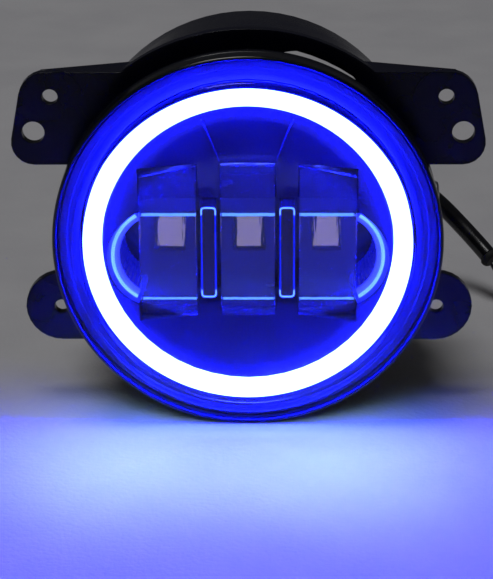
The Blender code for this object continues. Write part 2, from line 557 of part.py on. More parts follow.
def make_heat_sink(pod, materials):
    bm = bmesh.new()
    tall = (SINK_R_FRONT + 2) * MM
    face = bm.faces.new([bm.verts.new((x * MM, d * MM, -tall)) for x, d in fin_outline()])
    swept = bmesh.ops.extrude_face_region(bm, geom=[face])
    moved = [v for v in swept["geom"] if isinstance(v, bmesh.types.BMVert)]
    bmesh.ops.translate(bm, vec=(0, 0, 2 * tall), verts=moved)
    sink = pod.add("heat_sink", finished(bm, "heat_sink"), materials["cast_aluminium"])
    outside = [(0, SINK_FRONT - 1), (SINK_R_FRONT, SINK_FRONT - 1), (SINK_R_FRONT, 46),
               (SINK_R_REAR, SINK_END + 1), (0, SINK_END + 1)]
    shape(sink, pod, "INTERSECT", [turned("sink_outside", outside, PLAIN)])

    joined = [disc("gland_boss", GLAND_X, GLAND_Z, 7.6, SINK_BASE - 1, GLAND_FRONT + 1),
              disc("vent_boss", -GLAND_X, GLAND_Z, 6.0, SINK_BASE - 1, VENT_FRONT + 1),
              slab("adjuster_lug", (-6, 39.0, -52.3), (6, 48.0, -38))]
    for side, label in ((1, "right"), (-1, "left")):
        profile = [(0, 37), (4.5, 37), (4.5, 48.2), (0, 48.2)]
        joined.append(turned(f"pivot_boss_{label}", profile, SMALL, along_x(side, PIVOT_D, 0)))
    shape(sink, pod, "UNION", joined)

    cuts = [disc("gland_room", GLAND_X, GLAND_Z, 8.0, GLAND_FRONT - GAP, SINK_END + 1),
            disc("vent_room", -GLAND_X, GLAND_Z, 6.4, VENT_FRONT - GAP, SINK_END + 1),
            disc("cable_bore", GLAND_X, GLAND_Z, 3.2, SINK_FRONT - 1, GLAND_FRONT + 1, SMALL),
            disc("vent_bore", -GLAND_X, GLAND_Z, 2.0, SINK_FRONT - 1, SINK_END, SMALL),
            disc("nut_bore", 0, ADJUSTER_Z, 3.6, 38, 49, SMALL)]
    cuts += [disc(f"sink_hole_{i}", x, z, 1.7, SINK_FRONT - 1, SINK_BASE + 1, TINY)
             for i, (x, z) in enumerate(sink_screw_places())]
    for side, label in ((1, "right"), (-1, "left")):
        profile = [(0, 41.2), (PIVOT_R + 0.25, 41.2), (PIVOT_R + 0.25, 50), (0, 50)]
        cuts.append(turned(f"pivot_thread_{label}", profile, SMALL, along_x(side, PIVOT_D, 0)))
    shape(sink, pod, "DIFFERENCE", cuts)

    gasket = [(38.5, POD_BACK + GAP), (43.2, POD_BACK + GAP), (43.2, SINK_FRONT - GAP),
              (38.5, SINK_FRONT - GAP)]
    pod.add("rear_gasket", turned("rear_gasket", gasket, ROUND), materials["rubber"])
    profile = screw_profile(34.2, SINK_BASE + GAP, 1.4, 2.6, 2.0)
    for i, (x, z) in enumerate(sink_screw_places(), 1):
        name = f"heat_sink_screw_{i}"
        pod.add(name, turned(name, profile, TINY, move=(x, 0, z)), materials["steel"])
    vent = [(0, 44.0), (1.7, 44.0), (1.7, VENT_FRONT), (5.2, VENT_FRONT), (5.2, VENT_FRONT + 2.3),
            (4.4, VENT_FRONT + 3.1), (0, VENT_FRONT + 3.1)]
    pod.add("vent_plug", turned("vent_plug", vent, 20, move=(-GLAND_X, 0, GLAND_Z)), materials["rubber"])


def smooth_route(route, spacing):
    """Points about one spacing apart along a smooth curve through the route's own points."""
    knots = [Vector(p) for p in route]
    knots = [2 * knots[0] - knots[1]] + knots + [2 * knots[-1] - knots[-2]]
    points = [knots[1]]
    for before, start, end, after in zip(knots, knots[1:], knots[2:], knots[3:]):
        count = max(2, round((end - start).length / spacing))
        for i in range(1, count + 1):
            t = i / count
            points.append(0.5 * (2 * start + (end - before) * t
                                 + (2 * before - 5 * start + 4 * end - after) * t**2
                                 + (3 * start - before - 3 * end + after) * t**3))
    return points


def make_lead(frame, name, route, radius, resolution, spacing, material):
    curve = bpy.data.curves.new(name, "CURVE")
    curve.dimensions = "3D"
    curve.bevel_depth = radius * MM
    curve.bevel_resolution = resolution
    curve.use_fill_caps = True
    points = smooth_route(route, spacing)
    line = curve.splines.new("POLY")
    line.points.add(len(points) - 1)
    for target, point in zip(line.points, points):
        target.co = (*(point * MM), 1.0)
    curve.materials.append(material)
    lead = bpy.data.objects.new(name, curve)
    lead.location = -frame.origin
    lead.parent = frame.empty
    bpy.context.collection.objects.link(lead)


def facing(direction, place):
    """Turns the d axis to point along a direction, at a place (x, d, z)."""
    turn = Vector((0, 1, 0)).rotation_difference(Vector(direction)).to_matrix().to_4x4()
    return Matrix.Translation(Vector(place) * MM) @ turn


def make_cable(frame, pod, materials):
    gland = [(0, GLAND_FRONT), (7.2, GLAND_FRONT), (7.2, 60.6), (5.6, 61.4), (5.6, 64.5), (5.2, 65.0)]
    for i in range(GLAND_RIBS):
        start = 66.5 + i * 3.4
        radius = 5.2 - i * 0.4
        gland += [(radius - 0.8, start), (radius - 0.8, start + 1.2), (radius, start + 1.7),
                  (radius - 0.1, start + 3.0)]
    gland += [(3.7, GLAND_END), (0, GLAND_END)]
    gland = turned("cable_gland", gland, 20, move=(GLAND_X, 0, GLAND_Z))
    pod.add("cable_gland", gland, materials["rubber"])
    make_lead(frame, "cable_sleeve", SLEEVE_ROUTE, SLEEVE_R, 4, 6.0, materials["rubber"])

    end, before = Vector(SLEEVE_ROUTE[-1]), Vector(SLEEVE_ROUTE[-2])
    heading = (end - before).normalized()
    cuff = [(0, 0.3), (3.3, 0.3), (3.3, 1.6), (2.9, 2.6), (0, 2.6)]
    cuff = turned("sleeve_cuff", cuff, 16, facing(heading, end))
    frame.add("sleeve_cuff", cuff, materials["rubber"])
    for name, route in WIRE_ROUTES.items():
        material = materials["orange_wire" if name == "wire_one" else "black_nylon"]
        make_lead(frame, name, route, WIRE_R, 2, 4.5, material)
    make_plug(frame, materials)


def make_plug(frame, materials):
    """A sealed two-way connector: collar seal, body with an open socket, and a locking tab."""
    x, d, z = PLUG_AT
    turn = Matrix.Translation(Vector((x, d, z)) * MM) @ Matrix.Rotation(-pi / 2, 4, "Z")
    body = rounded([(-PLUG_HALF_WIDE, -PLUG_HALF_TALL), (PLUG_HALF_WIDE, -PLUG_HALF_TALL),
                    (PLUG_HALF_WIDE, PLUG_HALF_TALL), (-PLUG_HALF_WIDE, PLUG_HALF_TALL)], [2.2] * 4, 3)
    body = prism("plug_body", body, PLUG_START, PLUG_START + PLUG_LONG, turn)
    plug = frame.add("plug_body", body, materials["black_nylon"])
    socket = rounded([(-6.6, -4.4), (6.6, -4.4), (6.6, 4.4), (-6.6, 4.4)], [1.4] * 4, 3)
    socket = prism("plug_socket", socket, PLUG_START + 14, PLUG_START + PLUG_LONG + 2, turn)
    shape(plug, frame, "DIFFERENCE", [socket])
    seal = rounded([(-6.8, -4.8), (6.8, -4.8), (6.8, 4.8), (-6.8, 4.8)], [2.0] * 4, 3)
    seal = prism("plug_seal", seal, 1.0, PLUG_START - GAP, turn)
    frame.add("plug_seal", seal, materials["orange_wire"])
    latch = [(-2.6, PLUG_HALF_TALL + GAP), (2.6, PLUG_HALF_TALL + GAP), (2.6, PLUG_HALF_TALL + 2.0),
             (-2.6, PLUG_HALF_TALL + 2.0)]
    latch = prism("plug_latch", latch, 10.0, 26.0, turn)
    frame.add("plug_latch", latch, materials["black_nylon"])


def main():
    remove_old_objects()
    materials = make_materials()
    frame = Body("bracket_frame", 0, 0, 0)
    pod = Body("tilt_axis", 0, PIVOT_D, 0)
    adjuster = Body("adjuster_axis", 0, HEAD_D, ADJUSTER_Z)
    make_bracket(frame, materials)
    make_pivots(frame, pod, materials)
    make_adjuster(adjuster, pod, materials)
    make_shells(pod, materials)
    make_optics(pod, materials)
    make_electrics(pod, materials)
    make_heat_sink(pod, materials)
    make_cable(frame, pod, materials)


main()
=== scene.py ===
# Halo fog light: clear lens over a lit ring, three optics in a black dish, four-eared bracket, short lead.
from math import cos, pi, radians, sin

import bmesh
import bpy
from mathutils import Matrix, Vector


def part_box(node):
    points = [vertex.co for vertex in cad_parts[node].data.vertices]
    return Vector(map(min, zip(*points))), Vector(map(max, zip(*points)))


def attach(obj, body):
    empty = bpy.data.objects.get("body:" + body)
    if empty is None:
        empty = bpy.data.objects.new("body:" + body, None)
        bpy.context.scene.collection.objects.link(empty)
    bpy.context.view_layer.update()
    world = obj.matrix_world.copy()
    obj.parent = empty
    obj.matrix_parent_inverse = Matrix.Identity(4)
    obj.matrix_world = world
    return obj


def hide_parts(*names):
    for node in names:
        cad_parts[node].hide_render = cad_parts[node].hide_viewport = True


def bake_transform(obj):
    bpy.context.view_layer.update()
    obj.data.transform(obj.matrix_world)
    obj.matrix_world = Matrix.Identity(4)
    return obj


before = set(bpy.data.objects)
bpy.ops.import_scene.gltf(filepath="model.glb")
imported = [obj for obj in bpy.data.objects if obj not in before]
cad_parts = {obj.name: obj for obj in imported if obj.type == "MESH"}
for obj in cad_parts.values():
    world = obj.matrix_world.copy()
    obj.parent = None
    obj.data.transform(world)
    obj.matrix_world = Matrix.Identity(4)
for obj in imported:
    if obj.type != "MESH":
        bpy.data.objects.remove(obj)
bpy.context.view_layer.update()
print("frame loaded")

# Shapes are worked out in lamp coordinates in millimetres: x sideways and z up from the lamp's axis,
# and depth to the rear from the front plane of the rim.
mm = 0.001
pod, bracket, adjuster = "lamp_pod", "bracket", "adjuster"
rimLow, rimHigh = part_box("rim_ring")
lampOrigin = Vector((0, rimLow[1], (rimLow[2] + rimHigh[2]) / 2))
toWorld = Matrix.Translation(lampOrigin) @ Matrix.Scale(mm, 4)
toLamp = toWorld.inverted()

# Camera: a long lens a little above the lamp and a touch to its right
view = {"lens": 136.8, "sensor": 36.0, "distance": 0.617, "above": 20.75, "aside": 0.8,
        "tilt": 1.13, "turn": 0.04, "roll": -0.3}


def makeCamera():
    up, across = radians(view["above"]), radians(view["aside"])
    forward = Vector((-sin(across) * cos(up), cos(across) * cos(up), -sin(up)))
    data = bpy.data.cameras.new("camera")
    data.lens, data.sensor_width = view["lens"], view["sensor"]
    data.clip_start = 0.01
    camera = bpy.data.objects.new("camera", data)
    camera.location = lampOrigin - view["distance"] * forward
    facing = Matrix.Rotation(across + radians(view["turn"]), 4, "Z")
    facing = facing @ Matrix.Rotation(pi / 2 - up - radians(view["tilt"]), 4, "X")
    camera.rotation_euler = (facing @ Matrix.Rotation(radians(view["roll"]), 4, "Z")).to_euler()
    bpy.context.collection.objects.link(camera)
    bpy.context.scene.camera = camera


makeCamera()


# Materials
def linear(channel):
    return channel / 12.92 if channel <= 0.04045 else ((channel + 0.055) / 1.055) ** 2.4


def paint(code):
    return (*(linear(int(code[i:i + 2], 16) / 255) for i in (1, 3, 5)), 1.0)


def addNode(tree, kind, inputs, **settings):
    node = tree.nodes.new("ShaderNode" + kind)
    for key, value in settings.items():
        setattr(node, key, value)
    for key, value in inputs.items():
        if isinstance(value, bpy.types.NodeSocket):
            tree.links.new(value, node.inputs[key])
        else:
            node.inputs[key].default_value = value
    return node


# What every solid finish shares: patches of tone and gloss, a fine grain, and rubbed edges where asked
def solidFinish(look):
    material = bpy.data.materials.new(look["name"])
    material.use_nodes = True
    tree = material.node_tree
    shader = tree.nodes["Principled BSDF"]
    for socket, value in look.get("shader", {}).items():
        shader.inputs[socket].default_value = value
    where = addNode(tree, "TexCoord", {}).outputs["Object"]
    patches = addNode(tree, "TexNoise", {"Vector": where, "Scale": 1 / (look["patch"] * mm), "Detail": 4.0})
    tone = addNode(tree, "ValToRGB", {"Fac": patches.outputs["Fac"]})
    for stop, position, code in zip(tone.color_ramp.elements, (0.32, 0.68), look["colours"]):
        stop.position = position
        stop.color = paint(code)
    colour = tone.outputs["Color"]
    low, high = look["roughness"]
    gloss = addNode(tree, "MapRange", {"Value": patches.outputs["Fac"], "From Min": 0.3, "From Max": 0.7,
                                       "To Min": low, "To Max": high})
    grain = addNode(tree, "TexNoise", {"Vector": where, "Scale": 1 / (look["grain"] * mm), "Detail": 2.0})
    bump = addNode(tree, "Bump", {"Height": grain.outputs["Fac"], "Distance": look["depth"] * mm})
    if "rubbed" in look:
        plain = addNode(tree, "NewGeometry", {}).outputs["Normal"]
        soft = addNode(tree, "Bevel", {"Radius": look["edge"] * mm}, samples=4)
        turn = addNode(tree, "VectorMath", {0: plain, 1: soft.outputs["Normal"]}, operation="DOT_PRODUCT")
        rub = addNode(tree, "MapRange", {"Value": turn.outputs["Value"], "From Min": 0.99, "From Max": 0.8,
                                         "To Min": 0.0, "To Max": look["rubbing"]})
        mix = addNode(tree, "MixRGB", {"Fac": rub.outputs["Result"], "Color1": colour,
                                       "Color2": paint(look["rubbed"])})
        colour = mix.outputs["Color"]
        tree.links.new(soft.outputs["Normal"], bump.inputs["Normal"])
    tree.links.new(colour, shader.inputs["Base Color"])
    tree.links.new(gloss.outputs["Result"], shader.inputs["Roughness"])
    tree.links.new(bump.outputs["Normal"], shader.inputs["Normal"])
    return material


# Injection-moulded glass-filled nylon: satin black with a navy tint that is painted blue light from the
# ring, a spark-eroded mould grain, edges a shade greyer
mouldedNylon = solidFinish({
    "name": "mouldedNylon", "colours": ("#03041a", "#060822"), "patch": 14, "roughness": (0.20, 0.32),
    "grain": 0.55, "depth": 0.012, "edge": 0.5, "rubbed": "#1c2030", "rubbing": 0.4,
    "shader": {"IOR": 1.53, "Specular IOR Level": 0.2}})

# The rim ring: the same nylon off a polished tool, so a tighter gloss; its faint navy tint is painted blue
# light from the ring
polishedNylon = solidFinish({
    "name": "polishedNylon", "colours": ("#06070f", "#0a0c1a"), "patch": 20, "roughness": (0.16, 0.26),
    "grain": 0.8, "depth": 0.006, "shader": {"IOR": 1.53}})

# Bezel dish: piano-black polycarbonate, mirror smooth with the faintest moulding ripple; its deep blue tone
# is painted blue light from the ring
pianoBlack = solidFinish({
    "name": "pianoBlack", "colours": ("#0c1230", "#12183e"), "patch": 12, "roughness": (0.10, 0.18),
    "grain": 3.0, "depth": 0.01, "shader": {"IOR": 1.58, "Coat Weight": 0.4, "Coat Roughness": 0.06}})

# Die-cast aluminium under black powder coat: orange peel about a millimetre across, edges worn thin
powderCoat = solidFinish({
    "name": "powderCoat", "colours": ("#101113", "#1a1b1e"), "patch": 10, "roughness": (0.38, 0.52),
    "grain": 0.9, "depth": 0.03, "edge": 0.4, "rubbed": "#4a4c50", "rubbing": 0.4,
    "shader": {"IOR": 1.5}})

# Reflector tray: vacuum-metallised plastic under a smoked lacquer, a dark blurred mirror
smokedMirror = solidFinish({
    "name": "smokedMirror", "colours": ("#333c5a", "#46506e"), "patch": 7, "roughness": (0.12, 0.28),
    "grain": 2.0, "depth": 0.012, "shader": {"Metallic": 1.0}})

# Painted glow trim: emission painted on to stand in for the ring's light running along it, bright on the
# oval and the bars' ends, softer just inside the oval, dim down the bars' sides
paintedGlowTrimBright = solidFinish({
    "name": "paintedGlowTrimBright", "colours": ("#b8c2dc", "#ccd4ea"), "patch": 5, "roughness": (0.12, 0.2),
    "grain": 1.2, "depth": 0.006,
    "shader": {"IOR": 1.49, "Emission Color": (0.16, 0.45, 1.0, 1.0), "Emission Strength": 1.3}})
paintedGlowTrimSoft = solidFinish({
    "name": "paintedGlowTrimSoft", "colours": ("#7480b8", "#8c98cc"), "patch": 5, "roughness": (0.3, 0.4),
    "grain": 1.2, "depth": 0.02,
    "shader": {"IOR": 1.49, "Emission Color": (0.06, 0.09, 1.0, 1.0), "Emission Strength": 0.75}})
paintedGlowTrimDim = solidFinish({
    "name": "paintedGlowTrimDim", "colours": ("#1c2448", "#242c58"), "patch": 5, "roughness": (0.2, 0.3),
    "grain": 1.2, "depth": 0.01,
    "shader": {"IOR": 1.49, "Emission Color": (0.0, 0.02, 1.0, 1.0), "Emission Strength": 0.5}})

# Scalloped liner in the oval's ends: satin metallised plastic with a painted blue glow standing in for the
# ring's light
satinLinerPaintedGlow = solidFinish({
    "name": "satinLinerPaintedGlow", "colours": ("#8088b0", "#99a1c6"), "patch": 3, "roughness": (0.25, 0.38),
    "grain": 1.0, "depth": 0.02,
    "shader": {"Metallic": 0.6, "Emission Color": (0.0, 0.004, 1.0, 1.0), "Emission Strength": 0.38}})

# Silicone and EPDM rubber: dark, dull, slightly dusty
mouldedRubber = solidFinish({
    "name": "mouldedRubber", "colours": ("#101112", "#1b1c1e"), "patch": 5, "roughness": (0.55, 0.72),
    "grain": 0.4, "depth": 0.02, "shader": {"IOR": 1.45}})

# PVC sleeving over the lead: glossy black, faint draw lines along its length
vinylSleeve = solidFinish({
    "name": "vinylSleeve", "colours": ("#0b0b0f", "#14141a"), "patch": 6, "roughness": (0.20, 0.32),
    "grain": 0.7, "depth": 0.02, "shader": {"IOR": 1.54, "Coat Weight": 0.25, "Coat Roughness": 0.12}})

# Zinc-plated steel: pale grey, finely brushed round the turning
zincSteel = solidFinish({
    "name": "zincSteel", "colours": ("#9da1a6", "#c0c3c6"), "patch": 3, "roughness": (0.24, 0.38),
    "grain": 0.25, "depth": 0.01, "shader": {"Metallic": 1.0}})

# Natural nylon bushes and nut: milky, waxy and a little translucent
naturalNylon = solidFinish({
    "name": "naturalNylon", "colours": ("#cfccc0", "#dcd9cf"), "patch": 4, "roughness": (0.35, 0.48),
    "grain": 0.5, "depth": 0.01, "shader": {"IOR": 1.53, "Subsurface Weight": 0.2,
                                             "Subsurface Radius": (0.001, 0.001, 0.0008)}})

# Orange PVC wire insulation and the connector's silicone seal
orangeVinyl = solidFinish({
    "name": "orangeVinyl", "colours": ("#c2702c", "#d18238"), "patch": 3, "roughness": (0.30, 0.42),
    "grain": 0.5, "depth": 0.01, "shader": {"IOR": 1.54}})

# Phosphor under clear silicone on the emitters: mustard, with a faint painted warm glow standing in for
# pale reflections
phosphor = solidFinish({
    "name": "phosphor", "colours": ("#5c4c1c", "#6e5c26"), "patch": 0.8, "roughness": (0.28, 0.4),
    "grain": 0.15, "depth": 0.01,
    "shader": {"IOR": 1.41, "Coat Weight": 0.6, "Coat Roughness": 0.05,
               "Emission Color": (0.62, 0.5, 0.44, 1.0), "Emission Strength": 0.5}})


# Circuit board: solder resist over copper tracks, which show as paler stripes a little proud
def circuitBoard(look):
    material = solidFinish(look)
    tree = material.node_tree
    shader = tree.nodes["Principled BSDF"]
    where = addNode(tree, "TexCoord", {}).outputs["Object"]
    tracks = addNode(tree, "TexBrick", {
        "Vector": where, "Scale": 1 / (look["track"] * mm), "Mortar Size": 0.12,
        "Color1": paint(look["resist"]), "Color2": paint(look["overCopper"]),
        "Mortar": paint(look["resist"])})
    tree.links.new(tracks.outputs["Color"], shader.inputs["Base Color"])
    return material


boardResist = circuitBoard({
    "name": "boardResist", "colours": ("#0d3a22", "#155033"), "patch": 6, "roughness": (0.25, 0.36),
    "grain": 0.6, "depth": 0.01, "track": 3.2, "resist": "#0d3a22", "overCopper": "#2b6b45",
    "shader": {"IOR": 1.5}})


# Hard-coated polycarbonate cover lens: see-through, a Fresnel sheen on both faces
def coverLens(look):
    material = bpy.data.materials.new(look["name"])
    material.use_nodes = True
    tree = material.node_tree
    tree.nodes.remove(tree.nodes["Principled BSDF"])
    where = addNode(tree, "TexCoord", {}).outputs["Object"]
    ripple = addNode(tree, "TexNoise", {"Vector": where, "Scale": 1 / (look["ripple"] * mm), "Detail": 1.0})
    bump = addNode(tree, "Bump", {"Height": ripple.outputs["Fac"], "Distance": look["depth"] * mm})
    share = addNode(tree, "Fresnel", {"IOR": look["ior"], "Normal": bump.outputs["Normal"]})
    clear = addNode(tree, "BsdfTransparent", {"Color": paint(look["tint"])})
    sheen = addNode(tree, "BsdfGlossy", {"Roughness": look["roughness"], "Normal": bump.outputs["Normal"]})
    mix = addNode(tree, "MixShader", {0: share.outputs[0], 1: clear.outputs[0], 2: sheen.outputs[0]})
    tree.links.new(mix.outputs[0], tree.nodes["Material Output"].inputs["Surface"])
    return material


hardCoatLens = coverLens({"name": "hardCoatLens", "ior": 1.3, "roughness": 0.04, "tint": "#f6f8ff",
                          "ripple": 14, "depth": 0.02})


# Moulded PMMA optics: water clear, slightly wavy so that what is behind breaks into streaks
def clearAcrylic(look):
    material = bpy.data.materials.new(look["name"])
    material.use_nodes = True
    tree = material.node_tree
    shader = tree.nodes["Principled BSDF"]
    for socket, value in look["shader"].items():
        shader.inputs[socket].default_value = value
    where = addNode(tree, "TexCoord", {}).outputs["Object"]
    drawn = addNode(tree, "Mapping", {"Vector": where, "Scale": (1, 1, 0.12)}).outputs[0]
    waves = addNode(tree, "TexNoise", {"Vector": drawn, "Scale": 1 / (look["wave"] * mm), "Detail": 2.0})
    bump = addNode(tree, "Bump", {"Height": waves.outputs["Fac"], "Distance": look["depth"] * mm})
    haze = addNode(tree, "MapRange", {"Value": waves.outputs["Fac"], "To Min": 0.0, "To Max": look["haze"]})
    tree.links.new(haze.outputs["Result"], shader.inputs["Roughness"])
    tree.links.new(bump.outputs["Normal"], shader.inputs["Normal"])
    return material


opticAcrylic = clearAcrylic({"name": "opticAcrylic", "wave": 1.6, "depth": 0.16, "haze": 0.05,
                             "shader": {"IOR": 1.49, "Transmission Weight": 0.975,
                                        "Base Color": paint("#e6ecff")}})


# Lit light guide: opal acrylic ring glowing blue, a shade brighter where its emitters sit
def litGuide(look):
    material = bpy.data.materials.new(look["name"])
    material.use_nodes = True
    tree = material.node_tree
    shader = tree.nodes["Principled BSDF"]
    shader.inputs["Base Color"].default_value = paint(look["opal"])
    shader.inputs["Roughness"].default_value = look["roughness"]
    shader.inputs["Emission Color"].default_value = look["glow"]
    where = addNode(tree, "TexCoord", {}).outputs["Object"]
    mottle = addNode(tree, "TexNoise", {"Vector": where, "Scale": 1 / (look["mottle"] * mm), "Detail": 2.0})
    power = addNode(tree, "MapRange", {"Value": mottle.outputs["Fac"], "From Min": 0.3, "From Max": 0.7,
                                       "To Min": look["power"][0], "To Max": look["power"][1]})
    tree.links.new(power.outputs["Result"], shader.inputs["Emission Strength"])
    return material


opalGuide = litGuide({"name": "opalGuide", "opal": "#e8ecf4", "roughness": 0.35, "mottle": 6,
                      "glow": (0.0036, 0.0056, 1.0, 1.0), "power": (370, 420)})
print("materials made")


# Modelling helpers
def spun(profile, steps=144):
    # turns a profile of (radius, depth) points about the lamp's axis
    bm = bmesh.new()
    verts = [bm.verts.new((r, d, 0)) for r, d in profile]
    edges = [bm.edges.new(pair) for pair in zip(verts, verts[1:])]
    if profile[0][0] > 0 or profile[-1][0] > 0:
        edges.append(bm.edges.new((verts[-1], verts[0])))
    bmesh.ops.spin(bm, geom=verts + edges, cent=(0, 0, 0), axis=(0, 1, 0), angle=2 * pi, steps=steps,
                   use_merge=True)
    bmesh.ops.remove_doubles(bm, verts=bm.verts, dist=1e-4)
    bmesh.ops.recalc_face_normals(bm, faces=bm.faces)
    return bm


def block(low, high):
    bm = bmesh.new()
    bmesh.ops.create_cube(bm, size=1)
    low, high = Vector(low), Vector(high)
    bmesh.ops.scale(bm, vec=high - low, verts=bm.verts)
    bmesh.ops.translate(bm, vec=(low + high) / 2, verts=bm.verts)
    return bm


def nodeCopy(node):
    bm = bmesh.new()
    bm.from_mesh(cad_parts[node].data)
    bmesh.ops.transform(bm, matrix=toLamp, verts=bm.verts)
    bmesh.ops.remove_doubles(bm, verts=bm.verts, dist=1e-3)
    bmesh.ops.dissolve_limit(bm, angle_limit=radians(0.6), verts=bm.verts, edges=bm.edges)
    return bm


def soften(bm, width, segments=3, sharp=32, where=None):
    edges = [e for e in bm.edges if e.is_manifold and e.calc_face_angle(0) > radians(sharp)
             and (where is None or where(e))]
    bmesh.ops.bevel(bm, geom=edges, offset=width, offset_type="OFFSET", segments=segments, profile=0.5,
                    affect="EDGES", clamp_overlap=True, material=-1)


def runsAlong(axis):
    # picks the edges that lie along one axis: 0 sideways, 1 in depth
    return lambda e: abs((e.verts[0].co - e.verts[1].co).normalized()[axis]) > 0.9


def moveTo(bm, matrix):
    bmesh.ops.transform(bm, matrix=matrix, verts=bm.verts)
    return bm


def joinInto(bm, other):
    spare = bpy.data.meshes.new("spare")
    other.to_mesh(spare)
    other.free()
    bm.from_mesh(spare)
    bpy.data.meshes.remove(spare)
    return bm


def addPiece(bm, name, body, material, nodes=(), smooth=32):
    bmesh.ops.transform(bm, matrix=toWorld, verts=bm.verts)
    mesh = bpy.data.meshes.new(name)
    bm.to_mesh(mesh)
    bm.free()
    mesh.shade_smooth()
    mesh.set_sharp_from_angle(angle=radians(smooth))
    mesh.materials.append(material)
    piece = bpy.data.objects.new(name, mesh)
    bpy.context.collection.objects.link(piece)
    weighted = piece.modifiers.new("weighted", "WEIGHTED_NORMAL")
    weighted.keep_sharp = True
    if body:
        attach(piece, body)
    if nodes:
        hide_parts(*nodes)
    return piece


def facing(direction, place):
    # turns the depth axis to point along a direction, at a place (x, depth, z)
    turn = Vector((0, 1, 0)).rotation_difference(Vector(direction)).to_matrix().to_4x4()
    return Matrix.Translation(Vector(place)) @ turn


# Lead: sleeve out of the gland, then two bare wires into a sealed two-way connector
lead = {
    "sleeveRadius": 2.85, "wireRadius": 1.05, "sleeveLength": 97.5, "step": 1.5,
    "wires": {"wireOrange": ("wire_one", 62.5, "orange_wire"),
              "wireBlack": ("wire_two", 66.5, "cable_sleeve")},
    "sleeve": [(12.9, 82.4, 0.0), (12.9, 90.0, -0.3), (16.5, 98.5, -1.6), (26.0, 106.0, -4.6),
               (39.0, 110.6, -10.2), (52.0, 111.6, -18.6), (62.0, 110.0, -26.6), (68.5, 106.6, -32.4),
               (74.0, 101.6, -37.2), (77.4, 97.8, -40.2)],
    "wireOrange": [(80.5, 95.4, -42.0), (84.4, 90.6, -45.8), (90.0, 83.6, -50.4), (99.0, 75.8, -53.4),
                   (109.0, 69.0, -53.2), (118.5, 64.6, -50.6), (127.6, 63.2, -48.6)],
    "wireBlack": [(78.8, 94.2, -42.0), (82.0, 88.2, -46.2), (86.8, 80.6, -51.2), (95.0, 71.6, -53.5),
                  (105.0, 64.6, -53.4), (116.0, 60.0, -50.8), (127.6, 58.8, -48.6)],
}


def smoothRoute(route, spacing):
    knots = [Vector(p) for p in route]
    knots = [2 * knots[0] - knots[1]] + knots + [2 * knots[-1] - knots[-2]]
    points = [knots[1]]
    for before, start, end, after in zip(knots, knots[1:], knots[2:], knots[3:]):
        count = max(2, round((end - start).length / spacing))
        for i in range(1, count + 1):
            t = i / count
            points.append(0.5 * (2 * start + (end - before) * t
                                 + (2 * before - 5 * start + 4 * end - after) * t**2
                                 + (3 * start - before - 3 * end + after) * t**3))
    return points


def leadMesh(points, radius):
    # a round section drawn along the route, turned into a mesh
    curve = bpy.data.curves.new("route", "CURVE")
    curve.dimensions = "3D"
    curve.bevel_depth, curve.bevel_resolution, curve.use_fill_caps = radius, 6, True
    line = curve.splines.new("POLY")
    line.points.add(len(points) - 1)
    for target, point in zip(line.points, points):
        target.co = (*point, 1.0)
    route = bpy.data.objects.new("route", curve)
    bpy.context.collection.objects.link(route)
    bpy.context.view_layer.update()
    drawn = bpy.data.meshes.new_from_object(route)
    bm = bmesh.new()
    bm.from_mesh(drawn)
    bpy.data.objects.remove(route)
    bpy.data.curves.remove(curve)
    bpy.data.meshes.remove(drawn)
    bmesh.ops.remove_doubles(bm, verts=bm.verts, dist=1e-4)
    bmesh.ops.recalc_face_normals(bm, faces=bm.faces)
    return bm


# Strain relief: a flanged rubber gland with four ribs running down in size
gland = {"x": 12.9, "ribs": 4, "ribStart": 66.3, "pitch": 3.4, "ribRadius": 5.2, "taper": 0.4, "end": 82.0}


def makeGland():
    profile = [(0, 58.3), (6.8, 58.3), (7.2, 58.7), (7.2, 60.1), (6.7, 60.6), (5.9, 60.8), (5.6, 61.4),
               (5.6, 64.3), (5.3, 65.0), (4.5, 65.5)]
    for i in range(gland["ribs"]):
        start = gland["ribStart"] + i * gland["pitch"]
        radius = gland["ribRadius"] - i * gland["taper"]
        profile += [(radius - 0.9, start), (radius - 0.9, start + 1.0), (radius - 0.3, start + 1.35),
                    (radius, start + 1.75), (radius, start + 2.4), (radius - 0.35, start + 2.9)]
    profile += [(3.55, 80.4), (3.6, 81.6), (3.2, gland["end"]), (0, gland["end"])]
    bm = moveTo(spun(profile, 48), Matrix.Translation((gland["x"], 0, 0)))
    return addPiece(bm, "cableGland", pod, mouldedRubber, ["cable_gland"])


# Sealed two-way connector, lying past the end of the wires and open to the right
plug = {"at": (127.0, 61.0, -48.6), "long": 30.0, "start": 4.3, "halfWide": 8.4, "halfTall": 6.2,
        "corner": 2.2, "wall": 1.8, "socket": 15.5, "bands": (2.2, 4.6, 7.0), "pin": 2.6}


def roundedBar(start, end, halfWide, halfTall, corner, crown=0.35):
    # a bar along x whose long edges are rounded, with its two ends just eased
    bm = block((start, -halfWide, -halfTall), (end, halfWide, halfTall))
    soften(bm, corner, 5, where=runsAlong(0))
    soften(bm, crown, 2, sharp=60)
    return bm


